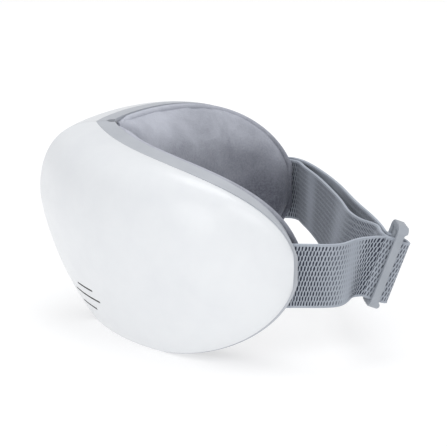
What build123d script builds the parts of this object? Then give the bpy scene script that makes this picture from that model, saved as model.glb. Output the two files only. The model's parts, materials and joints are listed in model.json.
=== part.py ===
"""Eye massager mask: two folding pods on a vertical hinge, with a knitted strap and its slider.

Millimetres. X points to the wearer's left, Y to the back of the head, Z up. The mask stands on
its lower edge at Z = 0. Everything is drawn from the front corner of the opening's rim, and moved
forward at the end, so that the middle of the overall length is at Y = 0.
"""
from build123d import *
import os
from math import atan2, cos, exp, pi, radians, sin, sqrt

# Overall
FRONT_BULGE = 28.3      # nose line, ahead of the rim's front corner
REAR_REACH = 153.17     # back of the slider, behind the rim's front corner
MID_LENGTH = (REAR_REACH - FRONT_BULGE) / 2

# Rim of the opening, seen from above: one cubic from the nose line to the temple
TEMPLE_X = 89.5
TEMPLE_Y = 98.0
CREASE_ANGLE = 13.0     # between the rim and the X axis at the nose line, degrees
TEMPLE_ANGLE = 100.0    # the same at the temple
RIM_HANDLE = 50.0       # length of both of the cubic's handles
CREASE_FADE = 40.0      # the pods' sections turn from straight ahead to square-on within this

# Rim of the opening, seen from the side: a lobe that closes at the temple
LOBE_MIDDLE = 47.5
LOBE_HALF = 50.0
LOBE_POWER = 2.2
BROW_RISE = 2.5         # the upper edge rises this much at the nose line
BROW_FADE = 9.0

# White shell
SHELL_END = 96.5
SHELL_TIP = 98.0
TIP_DEPTH = 2.5
DEPTH_POWER = 0.9
WALL = 2.2
SEAM = 0.3              # gap between the two pods' end walls
CAVITY_END = 88.0
SECTIONS = 12

# Grey inner housing, whose edge is the trim round the opening
TRIM = 8.6
TRIM_RISE = 0.8
TRIM_TIP = 99.6
TRIM_END = 98.9
PLATE = 2.6
PART_LINE = 0.1         # between shell and housing

# Face cushion
CUSHION_GAP = 0.3
CUSHION_DEPTH = 15.0
CUSHION_TIP = 102.0
CUSHION_END = 101.0
NOSE_ANGLE = 33.0       # free wedge each side of the middle plane, behind the hinge

# Nose arch: an elliptical notch at the lower end of the nose line
NOSE_HALF = 9.0
NOSE_RISE = 22.0

# Hinge
HINGE_Y = TRIM
PIN_R = 1.0
PIN_FIT = 0.05
KNUCKLE_R = 2.8
KNUCKLES = 5
HINGE_LOW = 26.0
HINGE_TOP = 97.6
KNUCKLE_GAP = 0.3

# Strap and its anchors in the temples
STRAP_W = 32.0
STRAP_T = 1.8
STRAP_Z = 44.5
ANCHOR_X = 85.4
ANCHOR_Y = 88.0
ANCHOR_R = 1.0
STRAP_LAYER = 2.2       # middle of a strap layer from the anchor's axis
SLOT_W = 6.6
SLOT_H = STRAP_W + 2.0
STRAP_EXIT = 97.5

# Strap slider, a frame of three bars
SLIDER_POS = (72.0, 141.2, 46.3)
SLIDER_TURN = 8.0       # from the X axis, degrees
SLIDER_LEAN = 21.0      # top edge outward, degrees
SLIDER_L = 19.0
SLIDER_H = 43.0
SLIDER_T = 4.0
RAIL_T = 5.2
BAR = 3.0
WINDOW = 5.0
WINDOW_H = 36.0
STRAP_DROP = 1.9        # the strap rests on the slider's lower rail

FROM_BASE = (Align.CENTER, Align.CENTER, Align.MIN)


def rim_curve(t, order=0):
    """The rim from above: its point, or its direction for order 1."""
    crease = radians(CREASE_ANGLE)
    temple = radians(TEMPLE_ANGLE)
    xs = (0, RIM_HANDLE * cos(crease), TEMPLE_X - RIM_HANDLE * cos(temple), TEMPLE_X)
    ys = (0, RIM_HANDLE * sin(crease), TEMPLE_Y - RIM_HANDLE * sin(temple), TEMPLE_Y)
    if order == 0:
        weights = ((1 - t) ** 3, 3 * t * (1 - t) ** 2, 3 * t * t * (1 - t), t ** 3)
        return tuple(sum(w * p for w, p in zip(weights, ps)) for ps in (xs, ys))
    weights = ((1 - t) ** 2, 2 * t * (1 - t), t * t)
    steps = [[b - a for a, b in zip(ps, ps[1:])] for ps in (xs, ys)]
    return tuple(sum(w * s for w, s in zip(weights, row)) for row in steps)


def rim_station(y):
    """Foot and outward direction of the upright section that meets the rim at this Y."""
    low, high = 0.0, 1.1
    for _ in range(50):
        mid = (low + high) / 2
        if rim_curve(mid)[1] < y:
            low = mid
        else:
            high = mid
    x = rim_curve(low)[0]
    along = rim_curve(low, 1)
    angle = atan2(along[1], along[0])
    angle -= radians(CREASE_ANGLE) * max(0.0, 1 - y / CREASE_FADE) ** 2
    return (x + SEAM / 2, y), (sin(angle), -cos(angle))


def section_plane(y):
    """Local X points outward, local Y points up, from the rim's foot on the ground."""
    foot, out = rim_station(y)
    return Plane(origin=(*foot, 0), x_dir=(*out, 0), z_dir=(out[1], -out[0], 0))


def pod_frame(y, depth, height):
    """For a fitting inside a pod: local X runs to the temple, Y up and Z outward."""
    foot, out = rim_station(y)
    origin = (foot[0] + out[0] * depth, foot[1] + out[1] * depth, height)
    return Plane(origin=origin, x_dir=(-out[1], out[0], 0), z_dir=(*out, 0))


def lobe(y, tip):
    return LOBE_HALF * sqrt(max(0.0, 1 - (y / tip) ** LOBE_POWER))


def top(y, tip=SHELL_TIP):
    return LOBE_MIDDLE + lobe(y, tip) + BROW_RISE * exp(-y / BROW_FADE)


def bottom(y, tip=SHELL_TIP):
    return LOBE_MIDDLE - lobe(y, tip)


def depth_at(y):
    return TIP_DEPTH + (FRONT_BULGE - TIP_DEPTH) * max(0.0, 1 - y / SHELL_TIP) ** DEPTH_POWER


def stations(end, count=SECTIONS):
    """Section places from the nose line to the end, closer together at both ends."""
    return [end * (1 - cos(pi * i / count)) / 2 for i in range(count + 1)]


def bulge(depth, high, low, back=0.0):
    """The pod's outline: full and round above, sloping back in towards its lower edge."""
    tall = high - low
    crown = (depth, high - 0.33 * tall)
    edges = [
        Bezier((0, high), (0.6 * depth, high), (depth, high - 0.12 * tall), crown),
        Bezier(crown, (depth, high - 0.5 * tall), (0.4 * depth, high - 0.9 * tall), (0, low)),
    ]
    if back:
        edges += [Line((0, low), (-back, low)), Line((-back, low), (-back, high))]
        edges += [Line((-back, high), (0, high))]
    else:
        edges += [Line((0, low), (0, high))]
    return edges


def box_outline(near, far, high_near, high_far, low):
    """Four-sided section from depth near to depth far, with a sloping top."""
    corners = [(near, high_near), (far, high_far), (far, low), (near, low)]
    return [Line(a, b) for a, b in zip(corners, corners[1:] + corners[:1])]


def loft_sections(edges_at, places):
    wires = [Wire([section_plane(y) * edge for edge in edges_at(y)]) for y in places]
    return Solid.make_loft(wires)


def space(x_low, z_low, size=260.0):
    """Everything above z_low and beyond x_low."""
    return Pos(x_low, 0, z_low) * Box(size, 2 * size, size, align=(Align.MIN, Align.CENTER, Align.MIN))


def upright_cylinder(x, y, low, high, radius):
    return Pos(x, y, low) * Cylinder(radius, high - low, align=FROM_BASE)


def rod(frame, radius, length):
    """Cylinder along the frame's Z, starting at its origin."""
    return frame * Cylinder(radius, length, align=FROM_BASE)


# Where things are inside a pod: (distance along the rim in Y, height)
BOSSES = [(15.0, 80.0), (15.0, 16.0), (60.0, 76.0), (60.0, 20.0)]
BOSS_R = 3.0
SCREW_R = 1.1
SCREW_HEAD_R = 2.2
SCREW_HEAD = 1.4
SCREW_L = 9.0
VENTS = [(30.0, 23.0, 19.0), (27.0, 18.0, 32.0), (23.5, 12.0, 20.0)]     # middle's X, height, length
VENT_Y = -4.5
VENT_TURN = 21.0
VENT_H = 1.1
BUTTONS = {"power_button": 58.0, "mode_button": 40.0}  # heights
BUTTON_Y = 46.0
BUTTON_R = 5.0
BUTTON_GAP = 0.25
BUTTON_STANDS = 0.6     # how far a button stands out, which is also its travel
SOCKET_Y = 64.0
SOCKET = (9.2, 3.4, 7.0)
CABLE_Y = 3.6
CABLE_R = 0.9
CABLE_HOLE = 2.4


def pod_solid():
    return loft_sections(lambda y: bulge(depth_at(y), top(y), bottom(y)), stations(SHELL_END))


def pod_cavity():
    def outline(y):
        return bulge(depth_at(y) - WALL, top(y) - WALL, bottom(y) + WALL, back=1.0)
    hollow = loft_sections(outline, stations(CAVITY_END)) & space(SEAM / 2 + WALL, WALL)
    return hollow - nose_arch(WALL)


def nose_arch(margin=0.0):
    return extrude(Plane.XZ * Ellipse(NOSE_HALF + margin, NOSE_RISE + margin), 120, both=True)


def vent_cutters():
    cutters = []
    for x, z, length in VENTS:
        slot = fillet(Box(length, 14, VENT_H).edges().filter_by(Axis.Y), VENT_H * 0.45)
        cutters.append(Pos(x, VENT_Y, z) * Rot(0, 0, VENT_TURN) * slot)
    return cutters


def outer_shell(right):
    """White shell of one pod, drawn on the wearer's left."""
    solid = pod_solid() & space(0, 0)
    shell = solid - pod_cavity()
    for y, z in BOSSES:
        frame = pod_frame(y, -TRIM + PLATE + 0.2, z)
        boss = rod(frame, BOSS_R, 40) & solid
        shell = shell + boss - rod(frame, SCREW_R + PIN_FIT, SCREW_L)
    for cutter in vent_cutters():
        shell -= cutter
    shell -= cable_hole()
    shell -= nose_arch()
    if right:
        for z in BUTTONS.values():
            shell -= rod(pod_frame(BUTTON_Y, 8, z), BUTTON_R + BUTTON_GAP, 20)
    return shell


def cable_hole():
    return Pos(0, CABLE_Y, LOBE_MIDDLE) * Rot(0, 90, 0) * Cylinder(CABLE_HOLE, 30)


def strap_slot():
    """Opening in the temple end, wide enough for the strap that goes round its anchor."""
    front = ANCHOR_Y - 4.0
    cutter = Box(SLOT_W, 30, SLOT_H, align=(Align.CENTER, Align.MIN, Align.CENTER))
    return Pos(ANCHOR_X, front, STRAP_Z) * cutter


def inner_housing(right):
    """Grey tray: trim edge, back plate, hinge knuckles and strap slot."""
    def slab(y):
        return box_outline(-PART_LINE, -TRIM, top(y, TRIM_TIP), top(y, TRIM_TIP) + TRIM_RISE,
                           bottom(y, TRIM_TIP))

    def pocket(y):
        high = top(y, TRIM_TIP) - WALL
        return box_outline(1.0, -TRIM + PLATE, high, high, bottom(y, TRIM_TIP) + WALL)

    tray = loft_sections(slab, stations(TRIM_END)) & space(0, 0)
    hollow = loft_sections(pocket, stations(CAVITY_END - 8)) & space(SEAM / 2 + WALL, WALL)
    tray -= hollow - nose_arch(WALL)
    tray -= upright_cylinder(0, HINGE_Y, -1, 120, KNUCKLE_R + KNUCKLE_GAP)
    tray += knuckles(right)
    tray -= upright_cylinder(0, HINGE_Y, -1, 120, PIN_R + PIN_FIT)
    tray -= strap_slot()
    tray -= cable_hole()
    tray -= nose_arch()
    for y, z in BOSSES:
        frame = pod_frame(y, -TRIM - 1, z)
        tray -= rod(frame, SCREW_R + 0.3, 10)
        tray -= rod(frame, SCREW_HEAD_R + 0.2, 1 + SCREW_HEAD)
    if right:
        tray -= socket_frame() * Box(SOCKET[0] + 0.1, SOCKET[1] + 0.1, 40)
    return tray


def knuckles(right):
    """This pod's share of the hinge barrel, each knuckle with an arm to the tray."""
    pitch = (HINGE_TOP - HINGE_LOW) / KNUCKLES
    first = 1 if right else 0
    group = None
    for i in range(first, KNUCKLES, 2):
        low = HINGE_LOW + i * pitch + KNUCKLE_GAP / 2
        high = low + pitch - KNUCKLE_GAP
        barrel = upright_cylinder(0, HINGE_Y, low, high, KNUCKLE_R)
        arm = Box(4.4, 2.6, high - low, align=(Align.MIN, Align.CENTER, Align.MIN))
        arm = Pos(1.6, HINGE_Y - 1.2, low) * arm
        piece = barrel + arm
        group = piece if group is None else group + piece
    return group


def nose_wedge():
    """What has to stay clear behind the hinge, so that the pods can fold."""
    reach = 160.0
    outline = Polyline((0, 0), (0, reach), (-reach, reach), (-reach, -20), (0, -20), close=True)
    half = Plane.XY * make_face(outline)
    wedge = extrude(half, 130)
    return Pos(0, HINGE_Y, -10) * Rot(0, 0, -NOSE_ANGLE) * wedge


def cushion_edges(y):
    """Crowned pad, rounded where it leaves the trim."""
    high = top(y, CUSHION_TIP)
    low = max(bottom(y, CUSHION_TIP), 0.0) + 0.6
    back = -TRIM - CUSHION_GAP
    face = back - CUSHION_DEPTH * min(1.0, (high - low) / 40)
    bend = 0.45 * (high - low)
    soft = 0.75 * (face - back)
    return [
        Bezier((back, high), (back + soft, high), (face, high - 0.2 * bend), (face, high - bend)),
        Line((face, high - bend), (face, low + bend)),
        Bezier((face, low + bend), (face, low + 0.2 * bend), (back + soft, low), (back, low)),
        Line((back, low), (back, high)),
    ]


BLADDER = (23.0, 20.0, 3.0)     # half length, half height, thickness
BLADDER_AT = (22.0, 56.0)
FILM_T = 0.4


def oval(half_l, half_h, thick):
    return extrude(Plane.XY * Ellipse(half_l, half_h), thick)


def bladder_frame(depth=0.0):
    y, z = BLADDER_AT
    return pod_frame(y, -TRIM - 4.5 - depth, z)


def face_cushion():
    pad = loft_sections(cushion_edges, stations(CUSHION_END))
    pad -= nose_wedge()
    pad -= nose_arch(CUSHION_GAP)
    pad -= upright_cylinder(0, HINGE_Y, -1, 120, KNUCKLE_R + 0.8)
    pocket_t = BLADDER[2] + FILM_T + 0.8
    pad -= bladder_frame(pocket_t - 0.3) * oval(BLADDER[0] + 0.4, BLADDER[1] + 0.4, pocket_t)
    return pad


def air_bladder():
    pillow = oval(*BLADDER)
    pillow = fillet(pillow.edges(), BLADDER[2] * 0.45)
    return bladder_frame(BLADDER[2]) * pillow


def heating_film():
    return bladder_frame(BLADDER[2] + FILM_T + 0.1) * oval(BLADDER[0] - 1, BLADDER[1] - 1, FILM_T)


MOTOR_AT = (66.0, 47.5)
MOTOR_DEPTH = 3.4
MOTOR_R = 4.0
MOTOR_L = 12.0
SHAFT_R = 0.6


def motor_frame():
    """Local Z runs along the rim, towards the temple."""
    frame = pod_frame(MOTOR_AT[0], MOTOR_DEPTH, MOTOR_AT[1])
    return Plane(origin=frame.origin, x_dir=frame.z_dir, z_dir=frame.x_dir)


def vibration_motor():
    can = Pos(0, 0, -MOTOR_L) * rod(Plane.XY, MOTOR_R, MOTOR_L)
    can -= Pos(0, 0, -MOTOR_L + 1) * rod(Plane.XY, SHAFT_R + PIN_FIT, MOTOR_L)
    return motor_frame() * can


def motor_rotor():
    shaft = Pos(0, 0, -MOTOR_L + 1.2) * rod(Plane.XY, SHAFT_R, MOTOR_L + 4)
    weight = Pos(0, 0, 0.6) * rod(Plane.XY, MOTOR_R - 0.6, 4)
    weight &= Pos(0, -0.8, 0) * Box(20, 20, 20, align=(Align.CENTER, Align.MIN, Align.CENTER))
    return motor_frame() * (shaft + weight)


def housing_screws():
    group = []
    for y, z in BOSSES:
        head = rod(pod_frame(y, -TRIM + 0.05, z), SCREW_HEAD_R, SCREW_HEAD - 0.1)
        shank = rod(pod_frame(y, -TRIM + SCREW_HEAD - 0.1, z), SCREW_R, SCREW_L)
        group.append(head + shank)
    return Compound(children=[Solid(screw.solid().wrapped) for screw in group])


def strap_pin(fit=0.0):
    reach = SLOT_H / 2 + 4
    return upright_cylinder(ANCHOR_X, ANCHOR_Y, STRAP_Z - reach, STRAP_Z + reach, ANCHOR_R + fit)


def strap_end(tail):
    """Strap sewn round its anchor: out to the slot on the outer side, and a tail on the inner side."""
    outer = ANCHOR_X + STRAP_LAYER
    inner = ANCHOR_X - STRAP_LAYER
    turn = ANCHOR_Y - STRAP_LAYER
    path = FilletPolyline((outer, STRAP_EXIT), (outer, turn), (inner, turn), (inner, tail),
                          radius=STRAP_LAYER * 0.98)
    return Pos(0, 0, STRAP_Z) * extrude(trace(path, STRAP_T), STRAP_W / 2, both=True)


SPEAKER_R = 6.5
SPEAKER_T = 3.5
SPEAKER_X = 28.0
SPEAKER_Z = 18.0
SPEAKER_INSET = 7.5     # from the shell's outer face to the driver's middle


def speaker():
    """Round driver just inside the sound slots."""
    frame = Pos(SPEAKER_X, VENT_Y, SPEAKER_Z) * Rot(0, 0, VENT_TURN) * Rot(90, 0, 0)
    return frame * Pos(0, 0, -SPEAKER_INSET) * Cylinder(SPEAKER_R, SPEAKER_T)


BATTERY = (34.0, 40.0, 6.5)
BATTERY_AT = (32.0, 50.0)
PUMP_AT = (9.0, 52.0)
PUMP_R = 5.5
PUMP_L = 28.0
BOARD = (36.0, 44.0, 1.6)
BOARD_AT = (32.0, 49.0)


def block(y, depth, height, size, radius=1.0):
    solid = fillet(Box(*size).edges(), radius) if radius else Box(*size)
    return pod_frame(y, depth, height) * solid


def battery():
    return block(BATTERY_AT[0], 3.2, BATTERY_AT[1], BATTERY, 2.0)


def pump_axis():
    foot, out = rim_station(PUMP_AT[0])
    return foot[0] + out[0] * 9.0, foot[1] + out[1] * 9.0


def air_pump():
    x, y = pump_axis()
    low = PUMP_AT[1] - PUMP_L / 2
    body = upright_cylinder(x, y, low, low + PUMP_L, PUMP_R)
    body -= upright_cylinder(x, y, low + 1.5, low + PUMP_L - 8, PUMP_R - 1.2)
    nozzle = upright_cylinder(x, y, low + PUMP_L - 0.1, low + PUMP_L + 4, 1.4)
    return body + nozzle


def pump_rotor():
    x, y = pump_axis()
    low = PUMP_AT[1] - PUMP_L / 2
    core = upright_cylinder(x, y, low + 3, low + PUMP_L - 11, PUMP_R - 1.9)
    shaft = upright_cylinder(x, y, low + 1.7, low + PUMP_L - 8.3, SHAFT_R)
    return core + shaft


def air_hose():
    """From the pump's nozzle over and back to the plate in front of the bladder."""
    x, y = pump_axis()
    start = PUMP_AT[1] + PUMP_L / 2 + 4.2
    foot, out = rim_station(PUMP_AT[0] + 4)
    target = (foot[0] - out[0] * (TRIM - PLATE - 1.2), foot[1] - out[1] * (TRIM - PLATE - 1.2))
    path = FilletPolyline((x, y, start), (x, y, start + 7), (target[0], target[1], start + 7), radius=4.0)
    ring = Plane(origin=(x, y, start), z_dir=(0, 0, 1)) * (Circle(1.6) - Circle(0.9))
    return sweep(ring, path=path)


def circuit_board():
    return block(BOARD_AT[0], 1.0, BOARD_AT[1], BOARD, 0)


def socket_frame():
    """Charging socket in the underside of the right pod's trim: local Z points down."""
    foot, out = rim_station(SOCKET_Y)
    depth = -TRIM / 2
    origin = (foot[0] + out[0] * depth, foot[1] + out[1] * depth, bottom(SOCKET_Y, TRIM_TIP) + 0.9)
    return Plane(origin=origin, x_dir=(-out[1], out[0], 0), z_dir=(0, 0, -1))


def charging_socket():
    """USB-C receptacle: a flat ring with a tongue inside."""
    long, high, deep = SOCKET
    body = Pos(0, 0, -deep / 2) * fillet(Box(long, high, deep).edges().filter_by(Axis.Z), high * 0.45)
    mouth = Pos(0, 0, -deep / 2 + 1) * fillet(Box(long - 1, high - 1, deep).edges().filter_by(Axis.Z), 1.0)
    tongue = Pos(0, 0, -deep / 2) * Box(long - 3, 0.7, deep - 2)
    return socket_frame() * (body - mouth + tongue)


def shell_depth(y, z):
    """Depth of the shell's outer face at this station and height."""
    probe = rod(pod_frame(y, -60, z), 0.05, 160) & pod_solid()
    frame = pod_frame(y, 0, z)
    return max(frame.to_local_coords(v.center()).Z for v in probe.vertices())


def push_button(z):
    """Round cap with a wider collar inside the shell."""
    face = shell_depth(BUTTON_Y, z)
    cap = rod(pod_frame(BUTTON_Y, face - 4.0, z), BUTTON_R, 4.0 + BUTTON_STANDS)
    collar = rod(pod_frame(BUTTON_Y, face - 5.5, z), BUTTON_R + 1.4, 1.6)
    return cap + collar


def air_valve():
    body = Box(10, 10, 12)
    bore = Pos(0, 0, -2) * rod(Plane.XY, 1.5 + PIN_FIT, 20)
    return pod_frame(10.0, 8.0, 54.0) * (body - bore)


def valve_plunger():
    stem = Pos(0, 0, -1.0) * rod(Plane.XY, 1.5, 9.0)
    cap = Pos(0, 0, 7.6) * rod(Plane.XY, 2.4, 1.0)
    return pod_frame(10.0, 8.0, 54.0) * (stem + cap)


def hinge_pin():
    return upright_cylinder(0, HINGE_Y, HINGE_LOW - 1.0, HINGE_TOP + 1.0, PIN_R)


def pin_caps():
    caps = []
    for low in (HINGE_LOW - 2.0, HINGE_TOP + 0.3):
        cap = upright_cylinder(0, HINGE_Y, low, low + 1.7, 1.9)
        caps.append(cap - upright_cylinder(0, HINGE_Y, HINGE_LOW - 1.0, HINGE_TOP + 1.0, PIN_R))
    return Compound(children=[Solid(cap.solid().wrapped) for cap in caps])


def seam_cable():
    return Pos(0, CABLE_Y, LOBE_MIDDLE) * Rot(0, 90, 0) * Cylinder(CABLE_R, 8)


def slider_frame():
    """Local X along the strap towards the left temple, Y outward, Z along the strap's width."""
    frame = Plane(origin=SLIDER_POS).rotated((0, 0, SLIDER_TURN))
    return Location(frame) * Location((0, 0, 0), (-SLIDER_LEAN, 0, 0))


def strap_slider():
    """Three-bar frame, with rails that stand proud of the bars on the outer side."""
    rail_h = (SLIDER_H - WINDOW_H) / 2
    frame = Box(SLIDER_L, SLIDER_T, SLIDER_H)
    for side in (-1, 1):
        frame -= Pos(side * (BAR + WINDOW) / 2, 0, 0) * Box(WINDOW, 20, WINDOW_H)
        rail = Box(SLIDER_L, RAIL_T, rail_h)
        frame += Pos(0, (RAIL_T - SLIDER_T) / 2, side * (SLIDER_H - rail_h) / 2) * rail
    frame = fillet(frame.edges().filter_by(Axis.Y).group_by(SortBy.LENGTH)[-1], 2.4)
    return slider_frame() * frame


LOOP_X = 5.0            # strap's middle in a window
LOOP_Y = 6.4            # strap's middle over the sewn hem
UNDER_Y = -3.3
HEM_X = 2.6
HEM_TOP = 3.1
HEM_Y = -5.9
SLIDER_EXIT = -14.0
RIBBON_SECTIONS = 24


def slider_ribbon(*points, radius):
    path = FilletPolyline(*points, radius=radius)
    return slider_frame() * Pos(0, 0, -STRAP_DROP) * extrude(trace(path, STRAP_T), STRAP_W / 2, both=True)


def strap_loop():
    """Strap through the slider's windows and over its middle bar."""
    return slider_ribbon((LOOP_X, -6.0), (LOOP_X, LOOP_Y), (-LOOP_X, LOOP_Y), (-LOOP_X, UNDER_Y),
                         (SLIDER_EXIT, UNDER_Y), radius=[3.8, 3.8, 1.4])


def strap_hem():
    """Strap's end, sewn round the slider's middle bar."""
    return slider_ribbon((SLIDER_EXIT, HEM_Y), (HEM_X, HEM_Y), (HEM_X, HEM_TOP), (-HEM_X, HEM_TOP),
                         (-HEM_X, -4.2), radius=1.1)


def strap_ribbon(route, ways):
    """Ribbon through (x, y, lean, height) places: the lean moves its top edge outward."""
    half = STRAP_W / 2
    turn = radians(SLIDER_TURN)
    edges = []
    for side in (-1, 1):
        places = [(x - side * lean * sin(turn), y + side * lean * cos(turn),
                   height + side * sqrt(half ** 2 - lean ** 2)) for x, y, lean, height in route]
        edges.append(Spline(*places, tangents=[(*way, 0) for way in ways], tangent_scalars=(1.0, 1.0)))
    low, high = edges
    wires = []
    for i in range(RIBBON_SECTIONS + 1):
        t = i / RIBBON_SECTIONS
        across = high @ t - low @ t
        flat = (low % t + high % t).cross(across)
        plane = Plane(origin=(low @ t + high @ t) / 2, x_dir=flat, z_dir=flat.cross(across))
        wires.append((plane * Rectangle(STRAP_T, across.length)).wire())
    return Solid.make_loft(wires)


def slider_place(x, y):
    """Ribbon place at a point of the slider's frame, at the strap's middle height."""
    point = (slider_frame() * Pos(x, y, -STRAP_DROP)).position
    return point.X, point.Y, STRAP_W / 2 * sin(radians(SLIDER_LEAN)), point.Z


def strap_routes():
    """Routes from a temple's slot to the slider, with their directions at both ends."""
    turn = radians(SLIDER_TURN)
    outer = ANCHOR_X + STRAP_LAYER
    inner = ANCHOR_X - STRAP_LAYER
    start = STRAP_EXIT + 0.4
    out_of_slider = (cos(turn), sin(turn))
    into_slider = (-sin(turn), cos(turn))
    return {
        "strap_left": ([(outer, start, 0, STRAP_Z), (88.0, 110, 0, STRAP_Z), (86.0, 119.4, 0.5, STRAP_Z),
                        (79.5, 124.6, 1.5, 45.0), (76.4, 129.0, 3.5, 45.8), slider_place(LOOP_X, -6.4)],
                       [(0, 1), into_slider]),
        "strap_outer": ([(-outer, start, 0, STRAP_Z), (-84, 103, 0, STRAP_Z), (-73, 108.6, 0.3, STRAP_Z),
                         (-54, 114.6, 1.0, STRAP_Z), (-29, 120.6, 2.0, STRAP_Z), (6, 126.8, 3.2, 44.7),
                         (31, 131.8, 4.4, 45.0), slider_place(SLIDER_EXIT - 0.4, UNDER_Y)],
                        [(0, 1), out_of_slider]),
        "strap_inner": ([(-inner, start, 0, STRAP_Z), (-80.5, 101.6, 0, STRAP_Z), (-72, 104.6, 0, STRAP_Z),
                         (-60, 107.6, 0.3, STRAP_Z), (-45, 111.2, 1.0, STRAP_Z), (-20, 116, 2.0, STRAP_Z),
                         (6, 119.6, 3.2, 44.8), (30, 122.6, 4.0, 45.3), (45, 127.6, 5.0, 45.8),
                         slider_place(SLIDER_EXIT - 0.4, HEM_Y)], [(0, 1), out_of_slider]),
    }


def save(name, shape):
    shape = Pos(0, -MID_LENGTH, 0) * shape
    export_step(shape, f"parts/{name}.step")


def pod_parts(side):
    """The pieces that both pods have, drawn on the left and mirrored for the right."""
    right = side == "right"
    pieces = {
        "outer_shell": outer_shell(right),
        "inner_housing": inner_housing(right) - strap_pin(PIN_FIT),
        "face_cushion": face_cushion(),
        "air_bladder": air_bladder(),
        "heating_film": heating_film(),
        "vibration_motor": vibration_motor(),
        "motor_rotor": motor_rotor(),
        "housing_screws": housing_screws(),
        "strap_pin": strap_pin(),
        "strap_end": strap_end(STRAP_EXIT if right else ANCHOR_Y + 4),
        "speaker": speaker(),
    }
    for name, shape in pieces.items():
        save(f"{side}_{name}", mirror(shape, Plane.YZ) if right else shape)


def main():
    os.makedirs("parts", exist_ok=True)
    pod_parts("left")
    pod_parts("right")
    left_only = {"battery": battery(), "air_pump": air_pump(), "pump_rotor": pump_rotor(),
                 "air_hose": air_hose()}
    for name, shape in left_only.items():
        save(name, shape)
    right_only = {"circuit_board": circuit_board(), "charging_socket": charging_socket(),
                  "air_valve": air_valve(), "valve_plunger": valve_plunger()}
    right_only |= {name: push_button(z) for name, z in BUTTONS.items()}
    for name, shape in right_only.items():
        save(name, mirror(shape, Plane.YZ))
    save("hinge_pin", hinge_pin())
    save("hinge_caps", pin_caps())
    save("seam_cable", seam_cable())
    save("strap_slider", strap_slider())
    save("strap_loop", strap_loop())
    save("strap_hem", strap_hem())
    for name, (route, ways) in strap_routes().items():
        save(name, strap_ribbon(route, ways))


main()
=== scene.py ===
"""Looks of the eye massager mask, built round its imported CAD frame. Metres, in the CAD's own frame."""
import bpy
import json
import numpy as np
from math import atan2, cos, exp, pi, radians, sin, sqrt
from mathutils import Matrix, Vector


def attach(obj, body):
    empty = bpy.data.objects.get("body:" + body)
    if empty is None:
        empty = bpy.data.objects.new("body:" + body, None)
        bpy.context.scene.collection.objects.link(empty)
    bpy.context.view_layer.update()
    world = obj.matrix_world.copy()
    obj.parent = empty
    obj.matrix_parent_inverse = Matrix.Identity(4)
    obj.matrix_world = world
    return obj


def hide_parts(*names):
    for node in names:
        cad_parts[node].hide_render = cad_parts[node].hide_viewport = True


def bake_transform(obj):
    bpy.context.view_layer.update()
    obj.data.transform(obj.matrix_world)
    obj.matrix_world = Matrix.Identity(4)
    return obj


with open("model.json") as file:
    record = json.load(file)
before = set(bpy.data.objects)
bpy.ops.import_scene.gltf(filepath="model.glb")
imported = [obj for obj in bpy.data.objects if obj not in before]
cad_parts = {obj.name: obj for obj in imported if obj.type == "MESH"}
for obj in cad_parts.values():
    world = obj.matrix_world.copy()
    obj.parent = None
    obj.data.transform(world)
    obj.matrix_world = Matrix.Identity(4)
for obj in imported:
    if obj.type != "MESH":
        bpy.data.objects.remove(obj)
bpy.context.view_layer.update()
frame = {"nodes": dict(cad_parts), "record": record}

MM = 0.001
MID_LENGTH = 62.435     # mm, from the rim's front corner to the middle of the length

# Rim of the opening, as in the CAD (mm)
TEMPLE = (89.5, 98.0)
CREASE_ANGLE = 13.0
TEMPLE_ANGLE = 100.0
RIM_HANDLE = 50.0
LOBE_MIDDLE = 47.5
LOBE_HALF = 50.0
TRIM = 8.6
CUSHION_TIP = 102.0

# Strap and slider, as in the CAD (mm)
STRAP_W = 32.0
STRAP_T = 1.8
STRAP_Z = 44.5
STRAP_X = 87.6
SLOT_Y = 93.0           # strap ends start this deep in the temples' slots
SLIDER_POS = np.array((72.0, 141.2, 46.3))
SLIDER_TURN = radians(8)
SLIDER_LEAN = radians(21)
STRAP_DROP = 1.9
STRAP_STEP = 0.5        # between the cross-sections of a strap
STRAP_SPLIT = 28.0      # X where a far layer's two spans meet
SELVEDGE = 1.4          # width of the thicker edge
SLIDER_HALF = (9.5, 21.5)
SLIDER_CORNER = 5.5

# Sound slots, as in the CAD (mm)
VENTS = [(30.0, 23.0, 19.0), (27.0, 18.0, 32.0), (23.5, 12.0, 20.0)]     # X, height, length
VENT_Y = -4.5
VENT_TURN = radians(21)
VENT_STEPS = 12
VENT_SHARE = 0.97       # of a slot's length that the cloth covers
VENT_CLOTH_HALF = 0.52
VENT_PROBE = 1.5        # above and below a slot, where the wall is felt from outside
VENT_START = 30.0       # how far outside the wall the feeling starts
VENT_SINK = 0.3

# Cushions (mm)
CUSHION_VOXEL = 2.2
CUSHION_GROWTH = 2.2    # the most that the swelling moves a point
FLOOR_GAP = 0.8
RIM_END = 97.9          # last Y with a rim station
BORDER_START, BORDER_END = 2.0, 99.5
BORDER_STEPS = 60
BORDER_R = 1.7
BORDER_SIDES = 12
SWELL_FRAMES = 20

# Knit: staggered rows of short slits (mm)
PITCH = 1.5             # between the slits of a row, along the strap
ROW = 2.5
SLIT = (0.23, 0.47)     # half sizes, as shares of the pitch and the row
SLANT = 0.18
PLAIN_EDGE = 1.3        # no slits this close to the edge


# ---------- rim and outline ----------

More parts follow.
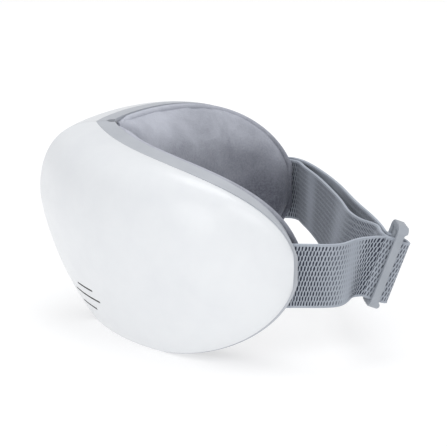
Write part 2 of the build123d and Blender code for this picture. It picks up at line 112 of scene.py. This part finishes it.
def rim_samples(count=240):
    """Feet and outward directions along the rim, from the nose line to the temple."""
    a, b = radians(CREASE_ANGLE), radians(TEMPLE_ANGLE)
    xs = (0, RIM_HANDLE * cos(a), TEMPLE[0] - RIM_HANDLE * cos(b), TEMPLE[0])
    ys = (0, RIM_HANDLE * sin(a), TEMPLE[1] - RIM_HANDLE * sin(b), TEMPLE[1])
    feet, outs = [], []
    for t in np.linspace(0, 1.04, count):
        w = ((1 - t) ** 3, 3 * t * (1 - t) ** 2, 3 * t * t * (1 - t), t ** 3)
        d = ((1 - t) ** 2, 2 * t * (1 - t), t * t)
        x, y = (sum(u * p for u, p in zip(w, ps)) for ps in (xs, ys))
        dx, dy = (sum(u * (q - p) for u, p, q in zip(d, ps, ps[1:])) for ps in (xs, ys))
        angle = atan2(dy, dx) - radians(CREASE_ANGLE) * max(0.0, 1 - y / 40) ** 2
        feet.append((x, y))
        outs.append((sin(angle), -cos(angle)))
    return np.array(feet), np.array(outs)


FEET, OUTS = rim_samples()


def station(y):
    """Foot and outward direction at this Y."""
    foot, out = (np.array([np.interp(y, FEET[:, 1], row[:, k]) for k in (0, 1)]) for row in (FEET, OUTS))
    return foot, out / np.linalg.norm(out)


def lobe(y):
    return LOBE_HALF * sqrt(max(0.0, 1 - (y / CUSHION_TIP) ** 2.2))


def rim_depth(points):
    """How far each point (mm, on the left side) lies outside the rim, negative inside."""
    gaps = ((points[:, None, :2] - FEET[None]) ** 2).sum(2)
    near = gaps.argmin(1)
    return ((points[:, :2] - FEET[near]) * OUTS[near]).sum(1)


# ---------- mesh helpers ----------

def to_frame(points):
    out = np.array(points, float)
    out[:, 1] -= MID_LENGTH
    return out * MM


def new_mesh(name, points, faces, material, uvs=None, smooth=True):
    mesh = bpy.data.meshes.new(name)
    mesh.from_pydata([tuple(p) for p in points], [], faces)
    mesh.update()
    if smooth:
        mesh.polygons.foreach_set("use_smooth", [True] * len(mesh.polygons))
    if uvs is not None:
        layer = mesh.uv_layers.new(name="strap")
        corners = np.empty(len(mesh.loops), int)
        mesh.loops.foreach_get("vertex_index", corners)
        layer.data.foreach_set("uv", uvs[corners].astype(np.float32).ravel())
    mesh.materials.append(material)
    obj = bpy.data.objects.new(name, mesh)
    bpy.context.scene.collection.objects.link(obj)
    return obj


def applied(obj, *modifiers):
    """Adds modifiers given as (type, settings) and makes their result the object's mesh."""
    for kind, settings in modifiers:
        modifier = obj.modifiers.new(kind, kind)
        for key, value in settings.items():
            setattr(modifier, key, value)
    graph = bpy.context.evaluated_depsgraph_get()
    mesh = bpy.data.meshes.new_from_object(obj.evaluated_get(graph))
    obj.modifiers.clear()
    obj.data = mesh
    mesh.polygons.foreach_set("use_smooth", [True] * len(mesh.polygons))


def coordinates(obj):
    co = np.empty(len(obj.data.vertices) * 3)
    obj.data.vertices.foreach_get("co", co)
    return co.reshape(-1, 3)


def set_coordinates(obj, co):
    obj.data.vertices.foreach_set("co", co.astype(np.float32).ravel())
    obj.data.update()


def bead(name, path, radius, material):
    """Round bead along a closed path of points in mm."""
    path = np.array(path, float)
    ahead = np.roll(path, -1, 0) - np.roll(path, 1, 0)
    ahead /= np.linalg.norm(ahead, axis=1)[:, None]
    points, faces = [], []
    side = np.cross(ahead[0], (0, 0, 1.0))
    for p, a in zip(path, ahead):
        side = side - a * (side @ a)
        side /= np.linalg.norm(side)
        up = np.cross(side, a)
        for k in range(BORDER_SIDES):
            turn = 2 * pi * k / BORDER_SIDES
            points.append(p + side * cos(turn) * radius + up * sin(turn) * radius)
    rings = len(path)
    for i in range(rings):
        j = (i + 1) % rings
        for k in range(BORDER_SIDES):
            m = (k + 1) % BORDER_SIDES
            faces.append((i * BORDER_SIDES + k, i * BORDER_SIDES + m,
                          j * BORDER_SIDES + m, j * BORDER_SIDES + k))
    return new_mesh(name, to_frame(points), faces, material)


# ---------- materials ----------

class Nodes:
    """Short-hand for building one material's node tree."""

    def __init__(self, name):
        self.material = bpy.data.materials.new(name)
        self.material.use_nodes = True
        self.tree = self.material.node_tree
        self.shader = self.tree.nodes["Principled BSDF"]

    def add(self, kind, links=None, **settings):
        node = self.tree.nodes.new(kind)
        for key, value in settings.items():
            setattr(node, key, value)
        for socket, value in (links or {}).items():
            self.put(node.inputs[socket], value)
        return node

    def put(self, socket, value):
        if isinstance(value, bpy.types.NodeSocket):
            self.tree.links.new(value, socket)
        else:
            socket.default_value = value

    def set(self, **values):
        for key, value in values.items():
            self.put(self.shader.inputs[key.replace("_", " ")], value)

    def place(self):
        return self.add("ShaderNodeTexCoord").outputs["Object"]

    def noise(self, scale, detail=3.0, roughness=0.6, distortion=0.0):
        links = {"Scale": scale, "Detail": detail, "Roughness": roughness, "Distortion": distortion}
        links["Vector"] = self.place()
        return self.add("ShaderNodeTexNoise", links).outputs["Fac"]

    def ramp(self, fac, stops):
        node = self.add("ShaderNodeValToRGB", {"Fac": fac})
        ramp = node.color_ramp
        while len(ramp.elements) < len(stops):
            ramp.elements.new(0.5)
        for element, (position, value) in zip(ramp.elements, stops):
            element.position = position
            element.color = (*value, 1) if isinstance(value, tuple) else (value, value, value, 1)
        return node.outputs["Color"]

    def math(self, operation, a, b=0.0, clamp=False):
        node = self.add("ShaderNodeMath", operation=operation, use_clamp=clamp)
        self.put(node.inputs[0], a)
        self.put(node.inputs[1], b)
        return node.outputs[0]

    def mix(self, fac, a, b):
        node = self.add("ShaderNodeMix", data_type="RGBA")
        for socket, value in (("Factor", fac), ("A", a), ("B", b)):
            target = [s for s in node.inputs if s.name == socket and s.enabled][0]
            self.put(target, (*value, 1) if isinstance(value, tuple) else value)
        return [s for s in node.outputs if s.enabled][0]

    def bump(self, height, strength, distance):
        links = {"Height": height, "Strength": strength, "Distance": distance}
        self.put(self.shader.inputs["Normal"], self.add("ShaderNodeBump", links).outputs["Normal"])


def moulded(name, dark, light, roughness=(0.34, 0.42), grain=0.06, coat=0.0):
    """Moulded plastic: faint tone drift, fine spark-eroded grain, uneven gloss."""
    n = Nodes(name)
    n.set(Base_Color=n.mix(n.ramp(n.noise(35, 4), [(0.35, 0.0), (0.65, 1.0)]), dark, light))
    n.set(Roughness=n.ramp(n.noise(240, 3), [(0.3, roughness[0]), (0.7, roughness[1])]))
    n.set(Coat_Weight=coat, Coat_Roughness=0.22, IOR=1.48)
    n.bump(n.noise(2600, 2, 0.5), grain, 0.0002)
    return n.material


def metal(name, tone, roughness=0.28):
    n = Nodes(name)
    n.set(Base_Color=n.mix(n.noise(300, 3), tuple(c * 0.85 for c in tone), tone), Metallic=1.0)
    n.set(Roughness=n.ramp(n.noise(900, 4), [(0.3, roughness), (0.7, roughness + 0.15)]))
    n.bump(n.noise(3000, 2), 0.08, 0.0001)
    return n.material


def suede():
    """Short-napped microfibre: strokes and patches of lighter or darker pile over a fine fibrous grain,
    with painted shade that darkens it towards the bottom.
    """
    n = Nodes("suede")
    strokes = n.noise(60, 6, 0.62, 0.4)
    patches = n.noise(20, 3, 0.5, 0.2)
    both = n.math("ADD", n.math("MULTIPLY", strokes, 0.6), n.math("MULTIPLY", patches, 0.4))
    # Painted shade: the base colour gets lighter higher up and darker lower down, standing in for the
    # shade low inside the mask; the strokes and patches are random tone of the pile.
    height = n.add("ShaderNodeSeparateXYZ", {"Vector": n.place()}).outputs["Z"]
    painted_height_shade = n.math("MULTIPLY", n.math("SUBTRACT", height, 0.066), 7.0)
    nap_and_painted_shade = n.math("ADD", n.math("MULTIPLY", both, 0.45), painted_height_shade)
    nap_and_shade_fac = n.ramp(nap_and_painted_shade, [(0.04, 0.0), (0.25, 0.42), (0.45, 1.0)])
    fibres = n.ramp(n.noise(1000, 3, 0.75), [(0.36, 0.0), (0.64, 1.0)])
    tone = n.mix(nap_and_shade_fac, (0.075, 0.08, 0.105), (0.5, 0.515, 0.575))
    n.set(Base_Color=n.mix(n.math("MULTIPLY", fibres, 0.16), tone, (0.55, 0.565, 0.62)))
    n.set(Roughness=0.95, Sheen_Weight=0.35, Sheen_Roughness=0.45, IOR=1.35)
    n.set(Sheen_Tint=(0.82, 0.85, 0.95, 1))
    n.bump(n.math("ADD", n.math("MULTIPLY", strokes, 0.5), n.math("MULTIPLY", fibres, 0.5)), 0.5, 0.0006)
    return n.material


def knit():
    """Ribbed knit: dark slits between light yarn ridges, read from the strap's own lengthwise map, with
    painted shade on the yarn where the strap is pulled hardest.
    """
    n = Nodes("knit")
    uv = n.add("ShaderNodeUVMap", uv_map="strap").outputs["UV"]
    parts = n.add("ShaderNodeSeparateXYZ", {"Vector": uv})
    along, across = parts.outputs["X"], parts.outputs["Y"]
    open_here = n.add("ShaderNodeAttribute", attribute_name="openness").outputs["Fac"]
    row = n.math("DIVIDE", across, ROW)
    odd = n.math("MULTIPLY", n.math("MODULO", n.math("FLOOR", row), 2.0), 0.5)
    in_row = n.math("SUBTRACT", n.math("FRACT", row), 0.5)
    waver = n.math("MULTIPLY", n.math("SUBTRACT", n.noise(420, 2), 0.5), 0.5)
    place = n.math("ADD", n.math("ADD", n.math("DIVIDE", along, PITCH), odd), waver)
    slanted = n.math("SUBTRACT", place, n.math("MULTIPLY", in_row, SLANT))
    in_pitch = n.math("SUBTRACT", n.math("FRACT", slanted), 0.5)
    wide = n.math("POWER", n.math("DIVIDE", in_pitch, SLIT[0]), 2.0)
    tall = n.math("POWER", n.math("DIVIDE", in_row, SLIT[1]), 2.0)
    reach = n.math("ADD", 0.75, n.math("MULTIPLY", open_here, 0.7))
    slit = n.math("SUBTRACT", reach, n.math("ADD", wide, tall))
    slit = n.math("MULTIPLY", slit, 1.6, clamp=True)
    body = n.math("LESS_THAN", n.math("ABSOLUTE", across), STRAP_W / 2 - PLAIN_EDGE)
    slit = n.math("MULTIPLY", n.math("MULTIPLY", slit, body), n.math("MINIMUM", open_here, 1.0))
    yarn = n.add("ShaderNodeTexWave", {"Vector": uv, "Scale": 0.9, "Distortion": 1.5, "Detail": 2.0},
                 bands_direction="Y").outputs["Fac"]
    ridge = n.mix(n.noise(140, 4), (0.38, 0.415, 0.47), (0.5, 0.54, 0.6))
    ridge = n.mix(n.math("MULTIPLY", yarn, 0.3), ridge, (0.2, 0.225, 0.275))
    # Painted shade: past an openness of 1.5, by the slider, the yarn is painted darker, standing in for
    # the shade where the strap bends away under it.
    painted_strain_shade = n.math("SUBTRACT", open_here, 1.5, clamp=True)
    ridge = n.mix(n.math("MULTIPLY", painted_strain_shade, 0.8), ridge, (0.1, 0.115, 0.145))
    n.set(Base_Color=n.mix(slit, ridge, (0.028, 0.034, 0.055)))
    n.set(Roughness=0.82, Sheen_Weight=0.3, Sheen_Roughness=0.5, IOR=1.4)
    n.set(Sheen_Tint=(0.85, 0.88, 0.95, 1))
    height = n.math("ADD", n.math("MULTIPLY", slit, -1.0), n.math("MULTIPLY", yarn, 0.25))
    n.bump(height, 0.8, 0.0005)
    return n.material


def board_mask():
    n = Nodes("board")
    n.set(Base_Color=n.mix(n.noise(260, 4), (0.01, 0.09, 0.04), (0.03, 0.16, 0.07)), Roughness=0.35)
    n.bump(n.noise(1200, 3), 0.2, 0.0002)
    return n.material


MATERIALS = {
    "shell_white": moulded("shell", (0.735, 0.75, 0.77), (0.77, 0.785, 0.8), (0.3, 0.38), 0.05, 0.25),
    "trim_grey": moulded("trim", (0.42, 0.44, 0.475), (0.47, 0.49, 0.525), (0.38, 0.46), 0.08),
    "cushion_suede": suede(),
    "bladder_film": moulded("film", (0.55, 0.56, 0.58), (0.62, 0.63, 0.65), (0.25, 0.35)),
    "heater_film": moulded("heater", (0.42, 0.2, 0.06), (0.5, 0.25, 0.08), (0.3, 0.4)),
    "motor_steel": metal("motor_steel", (0.6, 0.61, 0.63)),
    "rotor_steel": metal("rotor_steel", (0.45, 0.45, 0.47), 0.35),
    "screw_steel": metal("screw_steel", (0.12, 0.12, 0.13), 0.35),
    "pin_steel": metal("pin_steel", (0.22, 0.225, 0.24), 0.3),
    "slider_grey": moulded("slider", (0.31, 0.335, 0.37), (0.37, 0.395, 0.435), (0.36, 0.46), 0.1),
    "strap_knit": knit(),
    "speaker_black": moulded("speaker", (0.012, 0.012, 0.014), (0.02, 0.02, 0.022), (0.5, 0.6), 0.2),
    "battery_wrap": moulded("battery", (0.04, 0.12, 0.3), (0.06, 0.15, 0.36), (0.25, 0.32)),
    "pump_plastic": moulded("pump", (0.04, 0.04, 0.045), (0.06, 0.06, 0.065), (0.4, 0.5)),
    "hose_rubber": moulded("hose", (0.03, 0.03, 0.032), (0.05, 0.05, 0.052), (0.6, 0.7), 0.15),
    "board_green": board_mask(),
    "socket_steel": metal("socket_steel", (0.55, 0.56, 0.58), 0.25),
    "button_grey": moulded("button", (0.5, 0.525, 0.56), (0.58, 0.6, 0.63), (0.4, 0.5), 0.1),
}


def finish_cad_nodes():
    for part in frame["record"]["subparts"]:
        obj = frame["nodes"][part["node"]]
        obj.data.materials.clear()
        obj.data.materials.append(MATERIALS[part["material_slot"]])


# ---------- sound slots ----------

def vent_mesh(side):
    """Black speaker cloth just inside the sound slots."""
    shell = frame["nodes"][f"{side}_outer_shell"]
    flip = -1 if side == "right" else 1
    along = np.array((cos(VENT_TURN) * flip, sin(VENT_TURN), 0))
    inward = np.array((-sin(VENT_TURN) * flip, cos(VENT_TURN), 0))
    points, faces = [], []
    for x, z, length in VENTS:
        middle = np.array((x * flip, VENT_Y, 0))
        first = len(points)
        for i in range(VENT_STEPS + 1):
            spot = middle + along * length * (i / VENT_STEPS - 0.5) * VENT_SHARE
            depths = []
            for rise in (-VENT_PROBE, VENT_PROBE):
                start = to_frame([spot - inward * VENT_START + np.array((0, 0, z + rise))])[0]
                hit, place, _, _ = shell.ray_cast(Vector(start), Vector(inward))
                depths.append((Vector(start) - place).length / MM - VENT_START if hit else 0)
            for rise, depth in zip((-VENT_CLOTH_HALF, VENT_CLOTH_HALF), depths):
                points.append(spot + inward * (np.mean(depths) + VENT_SINK) + np.array((0, 0, z + rise)))
        for i in range(VENT_STEPS):
            a = first + 2 * i
            faces.append((a, a + 2, a + 3, a + 1))
    obj = new_mesh(f"{side}_vent_mesh", to_frame(points), faces, MATERIALS["speaker_black"])
    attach(obj, f"{side}_pod")


# ---------- cushions ----------

def swell(obj):
    """Inflates the pad as a pressurised cloth, and leaves the result in its mesh."""
    cloth = obj.modifiers.new("Cloth", "CLOTH")
    cloth.settings.use_pressure = True
    cloth.settings.uniform_pressure_force = 4.0
    cloth.settings.effector_weights.gravity = 0.0
    cloth.settings.tension_stiffness = 12.0
    cloth.settings.mass = 0.2
    for step in range(1, SWELL_FRAMES + 1):
        bpy.context.scene.frame_set(step)
    graph = bpy.context.evaluated_depsgraph_get()
    mesh = bpy.data.meshes.new_from_object(obj.evaluated_get(graph))
    obj.modifiers.clear()
    obj.data = mesh
    bpy.context.scene.frame_set(1)


def cushion(side):
    """Foam pad under suede: softened, swollen within its cap, and free of the trim and the floor."""
    flip = -1 if side == "right" else 1
    name = f"{side}_face_cushion"
    obj = bpy.data.objects.new(f"{side}_cushion_pad", frame["nodes"][name].data.copy())
    bpy.context.scene.collection.objects.link(obj)
    applied(obj, ("REMESH", {"mode": "VOXEL", "voxel_size": CUSHION_VOXEL * MM}))
    applied(obj, ("SMOOTH", {"factor": 0.5, "iterations": 8}))
    rest = coordinates(obj)
    swell(obj)
    moved = coordinates(obj)
    step = moved - rest
    length = np.linalg.norm(step, axis=1) + 1e-9
    local = rest / MM
    local[:, 0] *= flip
    local[:, 1] += MID_LENGTH
    inside = -rim_depth(local) - TRIM
    cap = CUSHION_GROWTH * MM * np.clip((inside - 1.0) / 5.0, 0, 1)
    step *= np.minimum(1, cap / length)[:, None]
    co = rest + step
    co[:, 2] = np.maximum(co[:, 2], FLOOR_GAP * MM)
    set_coordinates(obj, co)
    applied(obj, ("SUBSURF", {"levels": 1, "render_levels": 1}))
    obj.data.materials.clear()
    obj.data.materials.append(MATERIALS["cushion_suede"])
    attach(obj, f"{side}_pod")
    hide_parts(name)


def border_path(inset, drop):
    """Closed path round a cushion, next to the trim: along the top, round the temple and back below."""
    top, bottom = [], []
    for i in range(BORDER_STEPS):
        y = BORDER_START + (BORDER_END - BORDER_START) * sin(pi / 2 * i / (BORDER_STEPS - 1)) ** 0.9
        foot, out = station(min(y, RIM_END))
        shift = max(0.0, y - RIM_END)
        spot = foot - out * (TRIM + inset) + np.array((-out[1], out[0])) * shift
        half = max(1.5, lobe(y) - drop)
        rise = 2.5 * exp(-y / 9)
        top.append((*spot, LOBE_MIDDLE + half + rise))
        bottom.append((*spot, max(LOBE_MIDDLE - half, 2.4)))
    return top + bottom[::-1]


def border(side):
    """Rolled suede edge between a cushion and its trim."""
    flip = -1 if side == "right" else 1
    path = [(x * flip, y, z) for x, y, z in border_path(1.5, 1.2)]
    obj = bead(f"{side}_cushion_border", path, BORDER_R, MATERIALS["cushion_suede"])
    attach(obj, f"{side}_pod")


# ---------- strap ----------

def spline(points, start, end, count):
    """Smooth curve through the points with given end directions, evenly spaced along its length."""
    p = np.array(points, float)
    h = np.linalg.norm(np.diff(p, axis=0), axis=1)
    n = len(p)
    a = np.zeros((n, n))
    b = np.zeros_like(p)
    a[0, 0] = a[-1, -1] = 1
    b[0], b[-1] = start, end
    for i in range(1, n - 1):
        a[i, i - 1:i + 2] = h[i], 2 * (h[i - 1] + h[i]), h[i - 1]
        b[i] = 3 * (h[i] * (p[i] - p[i - 1]) / h[i - 1] + h[i - 1] * (p[i + 1] - p[i]) / h[i])
    slope = np.linalg.solve(a, b)
    fine = []
    for i in range(n - 1):
        t = np.linspace(0, 1, 40, endpoint=False)[:, None]
        fine.append((2 * t ** 3 - 3 * t ** 2 + 1) * p[i] + (t ** 3 - 2 * t ** 2 + t) * h[i] * slope[i]
                    + (3 * t ** 2 - 2 * t ** 3) * p[i + 1] + (t ** 3 - t ** 2) * h[i] * slope[i + 1])
    fine = np.vstack(fine + [p[-1:]])
    run = np.concatenate(([0], np.cumsum(np.linalg.norm(np.diff(fine, axis=0), axis=1))))
    places = np.linspace(0, run[-1], count)
    return np.stack([np.interp(places, run, fine[:, k]) for k in range(3)], 1), run[-1]


def slider_axes():
    along = np.array((cos(SLIDER_TURN), sin(SLIDER_TURN), 0))
    level = np.array((-sin(SLIDER_TURN), cos(SLIDER_TURN), 0))
    up = np.array((0, 0, 1.0))
    outward = level * cos(SLIDER_LEAN) - up * sin(SLIDER_LEAN)
    width = up * cos(SLIDER_LEAN) + level * sin(SLIDER_LEAN)
    return along, outward, width


ALONG, OUTWARD, WIDTH = slider_axes()


def in_slider(x, y):
    return SLIDER_POS + ALONG * x + OUTWARD * y - WIDTH * STRAP_DROP


def ribbon(name, centres, widths, calm=(), first=0.0, pulled=(), base=0.8):
    """Knitted band along its centres, with thicker selvedges and rounded edges."""
    count = len(centres)
    ahead = np.gradient(centres, axis=0)
    normals = np.cross(ahead, widths)
    normals /= np.linalg.norm(normals, axis=1)[:, None]
    run = np.concatenate(([0], np.cumsum(np.linalg.norm(np.diff(centres, axis=0), axis=1))))
    u = run + first
    openness = np.full(count, base)
    for middle, half in calm:
        openness -= base * 0.85 * np.exp(-((run - middle) / half) ** 2)
    # Pulled places open the slits wider; where they push openness past 1.5, the knit shader also paints
    # shade on the yarn.
    for middle, half in pulled:
        openness += 0.7 * np.exp(-((run - middle) / half) ** 2)
    openness = np.clip(openness, 0.1, 2.3)
    across = np.linspace(-STRAP_W / 2 + 0.5, STRAP_W / 2 - 0.5, 33)
    edge = [(STRAP_W / 2 - 0.15, 0.55), (STRAP_W / 2, 0.0), (STRAP_W / 2 - 0.15, -0.55)]
    loop = [(v, 1.0) for v in across] + edge + [(v, -1.0) for v in across[::-1]]
    loop += [(-v, -s) for v, s in edge]
    v = np.array([v for v, s in loop])
    lift = np.array([s for v, s in loop])
    half = STRAP_T / 2 - 0.12 + 0.14 * (np.abs(v) > STRAP_W / 2 - SELVEDGE)
    points = (centres[:, None] + widths[:, None] * v[None, :, None]
              + normals[:, None] * (lift * half)[None, :, None])
    size = len(loop)
    faces = []
    for i in range(count - 1):
        for k in range(size):
            m = (k + 1) % size
            faces.append((i * size + k, i * size + m, (i + 1) * size + m, (i + 1) * size + k))
    uvs = np.stack(np.broadcast_arrays(u[:, None], v[None]), -1).reshape(-1, 2)
    obj = new_mesh(name, to_frame(points.reshape(-1, 3)), faces, MATERIALS["strap_knit"], uvs)
    values = obj.data.attributes.new("openness", "FLOAT", "POINT")
    values.data.foreach_set("value", np.repeat(openness, size).astype(np.float32))
    return obj


def leaning(route, ways):
    """Centres and width directions through (x, y, lean, height) places, mm."""
    half = STRAP_W / 2
    lines = []
    total = sum(np.hypot(b[0] - a[0], b[1] - a[1]) for a, b in zip(route, route[1:]))
    count = int(total / STRAP_STEP)
    for side in (-1, 1):
        places = [(x - side * lean * sin(SLIDER_TURN), y + side * lean * cos(SLIDER_TURN),
                   z + side * sqrt(half ** 2 - lean ** 2)) for x, y, lean, z in route]
        lines.append(spline(places, (*ways[0], 0), (*ways[1], 0), count)[0])
    low, high = lines
    widths = high - low
    widths /= np.linalg.norm(widths, axis=1)[:, None]
    return (low + high) / 2, widths


def slider_place(x, y):
    spot = in_slider(x, y)
    return spot[0], spot[1], STRAP_W / 2 * sin(SLIDER_LEAN), spot[2]


def cut(centres, widths, a, b):
    return centres[a:b + 1], widths[a:b + 1]


def mm_point(p):
    return tuple(to_frame([p])[0])


def near_strap():
    """From the near slot round to the slider, then up into its window."""
    route = [(STRAP_X, SLOT_Y, 0, STRAP_Z), (STRAP_X, 98, 0, STRAP_Z), (88.0, 110, 0, STRAP_Z),
             (86.0, 119.4, 0.5, STRAP_Z), (79.5, 124.6, 1.5, 45.0), (76.4, 129.0, 3.5, 45.8),
             slider_place(5.0, -6.0)]
    centres, widths = leaning(route, ((0, 1), (-sin(SLIDER_TURN), cos(SLIDER_TURN))))
    # Near the slider, the pulls at 45 and 51 mm together lift openness past 1.5, which paints shade on
    # the yarn there.
    obj = ribbon("strap_near", centres, widths, calm=[(33, 5)], pulled=[(8, 9), (45, 7), (51, 4)])
    mm_point((86, 112, 45))
    mm_point((78, 133, 46))
    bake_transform(obj)
    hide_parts("strap_left", "left_strap_end")


def far_strap(name, route, calm, nodes):
    """One layer of the strap, from the far slot to the slider, in two spans."""
    centres, widths = leaning(route, ((0, 1), (cos(SLIDER_TURN), sin(SLIDER_TURN))))
    split = int(np.argmin(np.abs(centres[:, 0] - STRAP_SPLIT)))
    run = np.concatenate(([0], np.cumsum(np.linalg.norm(np.diff(centres, axis=0), axis=1))))
    far = ribbon(f"{name}_far", *cut(centres, widths, 0, split), calm=calm, base=1.2)
    near_calm = [(m - run[split], h) for m, h in calm]
    near = ribbon(f"{name}_near", *cut(centres, widths, split, len(centres) - 1), calm=near_calm,
                  first=run[split], base=1.2)
    mm_point((26, 131, 45))
    mm_point((-86, 103, 45))
    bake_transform(far)
    mm_point((29, 133, 45))
    mm_point((54, 139, 45))
    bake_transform(near)
    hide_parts(*nodes)


def outer_route():
    return [(-STRAP_X, SLOT_Y, 0, STRAP_Z), (-87.4, 99, 0, STRAP_Z), (-84, 103, 0, STRAP_Z),
            (-73, 108.6, 0.3, STRAP_Z), (-54, 114.6, 1.0, STRAP_Z), (-29, 120.6, 2.0, STRAP_Z),
            (6, 126.8, 3.2, 44.7), (31, 131.8, 4.4, 45.0), slider_place(-14.0, -3.3)]


def inner_route():
    return [(-83.2, SLOT_Y, 0, STRAP_Z), (-82.8, 98.5, 0, STRAP_Z), (-80.5, 101.6, 0, STRAP_Z),
            (-72, 104.6, 0, STRAP_Z), (-60, 107.6, 0.3, STRAP_Z), (-45, 111.2, 1.0, STRAP_Z),
            (-20, 116, 2.0, STRAP_Z), (6, 119.6, 3.2, 44.8), (30, 122.6, 4.0, 45.3),
            (45, 127.6, 5.0, 45.8), slider_place(-14.0, -5.9)]


def slider_band(name, points, ways, nodes, calm=()):
    places = [in_slider(x, y) for x, y in points]
    directions = [ALONG * x + OUTWARD * y for x, y in ways]
    rough = sum(np.linalg.norm(b - a) for a, b in zip(places, places[1:]))
    centres, length = spline(places, *directions, int(rough / 0.45))
    obj = ribbon(name, centres, np.repeat(WIDTH[None], len(centres), 0), calm)
    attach(obj, "slider")
    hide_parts(*nodes)


def slider_body():
    """The CAD slider, its edges softened, then its four corners pulled round and smoothed."""
    corner = SLIDER_CORNER
    obj = bpy.data.objects.new("slider_body", frame["nodes"]["strap_slider"].data.copy())
    bpy.context.scene.collection.objects.link(obj)
    applied(obj, ("REMESH", {"mode": "VOXEL", "voxel_size": 0.0005}),
            ("SMOOTH", {"factor": 0.5, "iterations": 9}))
    co = coordinates(obj)
    local = co / MM + np.array((0, MID_LENGTH, 0)) - SLIDER_POS
    along, up = local @ ALONG, local @ WIDTH
    past = np.stack((np.abs(along) - SLIDER_HALF[0] + corner, np.abs(up) - SLIDER_HALF[1] + corner), 1)
    reach = np.linalg.norm(past, axis=1)
    outside = (past.min(1) > 0) & (reach > corner)
    pull = past * (corner / np.maximum(reach, 1e-6) - 1)[:, None]
    shift = ALONG * (np.sign(along) * pull[:, 0])[:, None] + WIDTH * (np.sign(up) * pull[:, 1])[:, None]
    co[outside] += shift[outside] * MM
    set_coordinates(obj, co)
    applied(obj, ("SMOOTH", {"factor": 0.5, "iterations": 4}))
    obj.data.materials.clear()
    obj.data.materials.append(MATERIALS["slider_grey"])
    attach(obj, "slider")
    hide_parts("strap_slider")


def strap():
    slider_body()
    near_strap()
    far_strap("strap_outer_layer", outer_route(), [(60, 30)], ["strap_outer", "right_strap_end"])
    far_strap("strap_inner_layer", inner_route(), [(37, 9), (104, 16)], ["strap_inner"])
    slider_band("strap_hump", [(5.0, -6.0), (5.0, 2.6), (3.4, 6.0), (0, 7.0), (-3.4, 6.0), (-5.0, 2.6),
                               (-5.6, -1.6), (-8.0, -3.2), (-14.0, -3.3)],
                ((0, 1), (-1, 0)), ["strap_loop"])
    slider_band("strap_sewn_end", [(-14.0, -5.9), (0.0, -5.9), (2.3, -4.8), (2.7, -1), (2.4, 2.2),
                                   (0, 3.2), (-2.4, 2.2), (-2.7, -1), (-2.6, -4.2)],
                ((1, 0), (0, -1)), ["strap_hem"])


# ---------- stage ----------

FLOOR_GLOW = 0.57
WORLD_STRENGTH = 0.69
LIGHT_TARGET = (0, 0, 0.05)
LIGHTS = [("key", (1.1, 0.7, 1.1), 1.0, 4.5), ("fill", (1.4, -0.9, 0.5), 1.0, 5),
          ("top", (-0.2, 0.1, 1.3), 0.9, 5)]     # place, size, power
CAMERA_LENS = 289
CAMERA_TARGET = (0, 0.001, 0.0474)
CAMERA_ELEVATION = radians(14.7)
CAMERA_DISTANCE = 1.8

def area_light(name, place, target, size, power):
    light = bpy.data.lights.new(name, "AREA")
    light.shape = "DISK"
    light.size = size
    light.energy = power
    obj = bpy.data.objects.new(name, light)
    obj.location = place
    obj.rotation_euler = (Vector(target) - Vector(place)).to_track_quat("-Z", "Y").to_euler()
    bpy.context.scene.collection.objects.link(obj)


def floor_and_world():
    n = Nodes("floor")
    n.set(Base_Color=n.mix(n.noise(3, 2), (0.45, 0.45, 0.452), (0.48, 0.48, 0.482)), Roughness=0.9)
    n.set(Emission_Color=(1, 1, 1, 1), Emission_Strength=FLOOR_GLOW)
    points = [(-6, -6, 0), (6, -6, 0), (6, 6, 0), (-6, 6, 0)]
    floor = new_mesh("floor", points, [(0, 1, 2, 3)], n.material, smooth=False)
    world = bpy.data.worlds.new("studio")
    world.use_nodes = True
    back = world.node_tree.nodes["Background"]
    back.inputs["Color"].default_value = (0.97, 0.98, 1.0, 1)
    back.inputs["Strength"].default_value = WORLD_STRENGTH
    bpy.context.scene.world = world
    bpy.context.scene.view_settings.view_transform = "Standard"


def lights():
    for name, place, size, power in LIGHTS:
        area_light(name, place, LIGHT_TARGET, size, power)


def camera():
    data = bpy.data.cameras.new("camera")
    data.lens = CAMERA_LENS
    data.sensor_width = 36
    data.clip_end = 20
    obj = bpy.data.objects.new("camera", data)
    away = Vector((cos(CAMERA_ELEVATION), 0, sin(CAMERA_ELEVATION)))
    obj.location = Vector(CAMERA_TARGET) + away * CAMERA_DISTANCE
    obj.rotation_euler = (-away).to_track_quat("-Z", "Y").to_euler()
    bpy.context.scene.collection.objects.link(obj)
    bpy.context.scene.camera = obj


floor_and_world()
lights()
camera()
finish_cad_nodes()
for pod in ("left", "right"):
    cushion(pod)
    border(pod)
    vent_mesh(pod)
strap()
